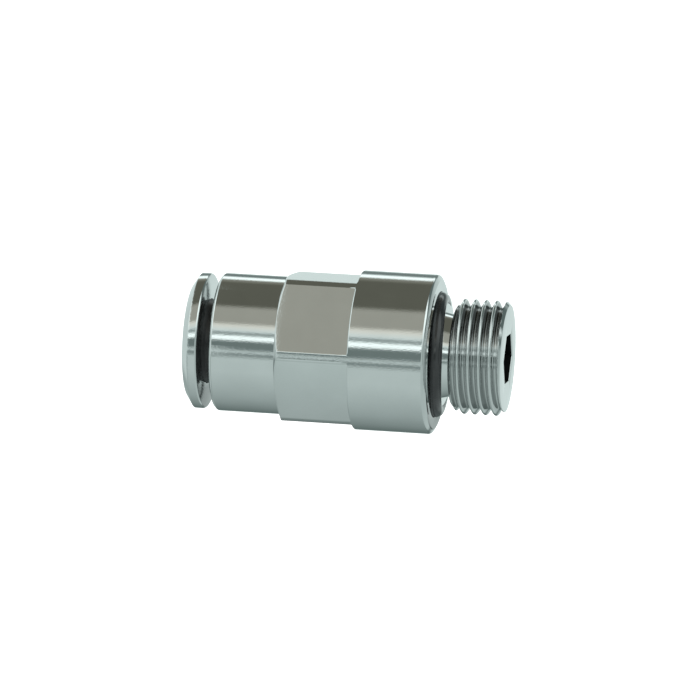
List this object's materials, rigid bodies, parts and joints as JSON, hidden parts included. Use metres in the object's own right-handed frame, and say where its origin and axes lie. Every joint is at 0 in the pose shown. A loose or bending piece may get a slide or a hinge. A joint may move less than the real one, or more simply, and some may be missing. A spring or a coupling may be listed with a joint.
{
  "type": "push to connect fitting",
  "caption": "Straight male push-to-connect pneumatic fitting: nickel-plated body with hexagon, parallel threaded stud, captive rubber seal ring and sliding metal release button.",
  "frame": {"origin": "on the axis, at the middle of the overall length with the release button extended", "axes": "+X along the axis towards the threaded stud, +Z square to one pair of wrench flats"},
  "size_m": [0.027, 0.0136, 0.0136],
  "materials": {
    "nickel_plate": "bright nickel plate",
    "plain_brass": "machined",
    "stainless_spring": "pressed",
    "black_plastic": "satin",
    "pale_plastic": "satin",
    "seal_rubber": "greased"
  },
  "bodies": {
    "body": {"stud_body": "nickel_plate", "guide_ring": "nickel_plate", "gripping_ring": "stainless_spring", "support_ring": "plain_brass", "backup_ring": "pale_plastic", "tube_seal": "seal_rubber", "stud_o_ring": "seal_rubber"},
    "button": {"release_button": "nickel_plate", "release_sleeve": "black_plastic"}
  },
  "joints": [
    {"name": "release_slide", "type": "slide", "parent": "body", "child": "button", "axis": [1, 0, 0], "range_m": [0, 0.0009]}
  ]
}
